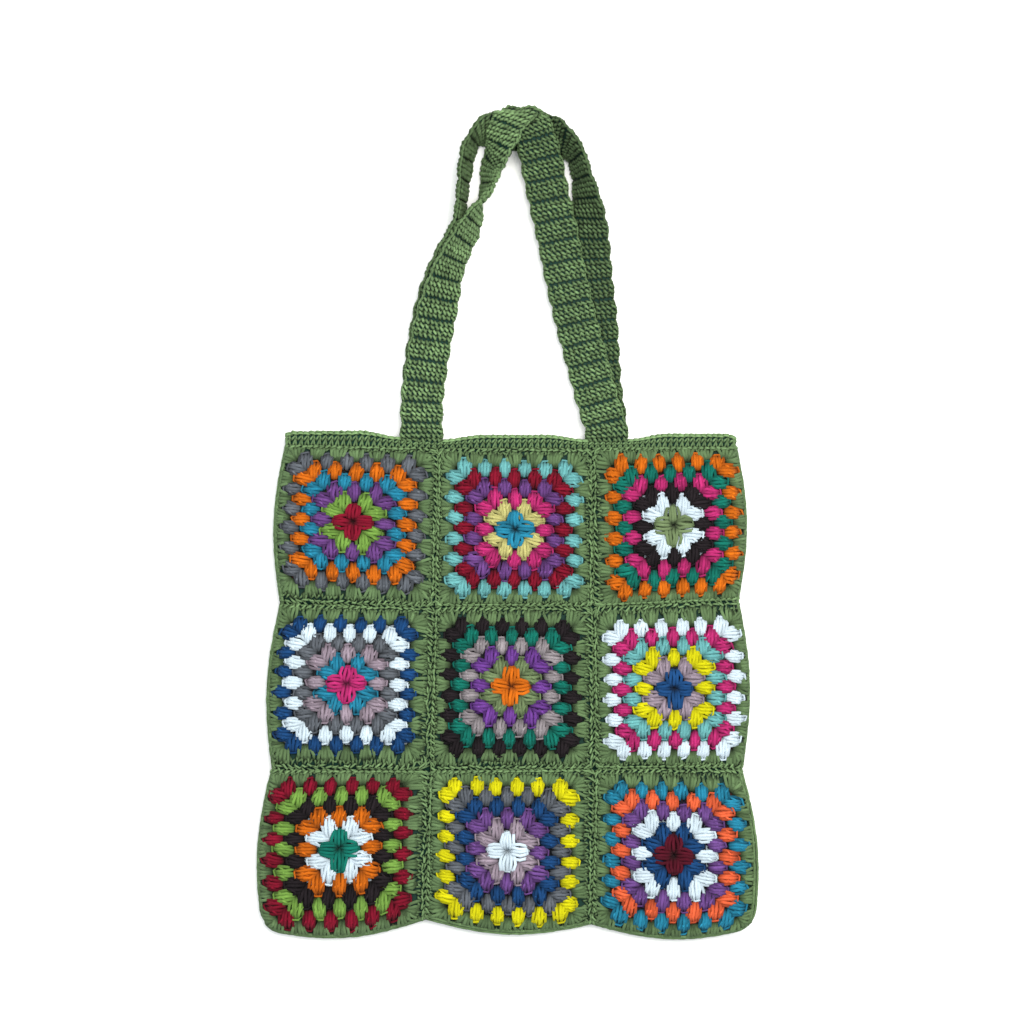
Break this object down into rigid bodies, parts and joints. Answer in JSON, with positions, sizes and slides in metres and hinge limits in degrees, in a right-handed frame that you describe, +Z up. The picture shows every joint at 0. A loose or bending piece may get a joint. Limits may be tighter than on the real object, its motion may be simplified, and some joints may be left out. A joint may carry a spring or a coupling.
{
  "type": "crocheted tote bag",
  "caption": "Flat crocheted tote bag of joined granny squares with a band round its open mouth and long strap handles, lying on its back.",
  "frame": {"origin": "On the resting surface, under the middle of the whole bag with its handles", "axes": "+Y from the hem towards the handles, +X to the right seen from above, +Z up through the front wall"},
  "size_m": [0.38, 0.6332, 0.0373],
  "materials": {
    "green_yarn": "matte worsted yarn",
    "slate_yarn": "matte worsted yarn",
    "aqua_yarn": "matte worsted yarn",
    "orange_yarn": "matte worsted yarn",
    "navy_yarn": "matte worsted yarn",
    "brown_yarn": "matte worsted yarn",
    "white_yarn": "matte worsted yarn",
    "crimson_yarn": "matte worsted yarn",
    "yellow_yarn": "matte worsted yarn",
    "turquoise_yarn": "matte worsted yarn"
  },
  "bodies": {
    "root": {"square_front_row1_col1": "slate_yarn", "square_front_row1_col2": "aqua_yarn", "square_front_row1_col3": "orange_yarn", "square_front_row2_col1": "navy_yarn", "square_front_row2_col2": "brown_yarn", "square_front_row2_col3": "white_yarn", "square_front_row3_col1": "crimson_yarn", "square_front_row3_col2": "yellow_yarn", "square_front_row3_col3": "turquoise_yarn", "square_back_row1_col1": "turquoise_yarn", "square_back_row1_col2": "yellow_yarn", "square_back_row1_col3": "crimson_yarn", "square_back_row2_col1": "white_yarn", "square_back_row2_col2": "brown_yarn", "square_back_row2_col3": "navy_yarn", "square_back_row3_col1": "orange_yarn", "square_back_row3_col2": "aqua_yarn", "square_back_row3_col3": "slate_yarn", "top_band": "green_yarn", "handle_front": "green_yarn", "handle_back": "green_yarn"}
  },
  "joints": []
}
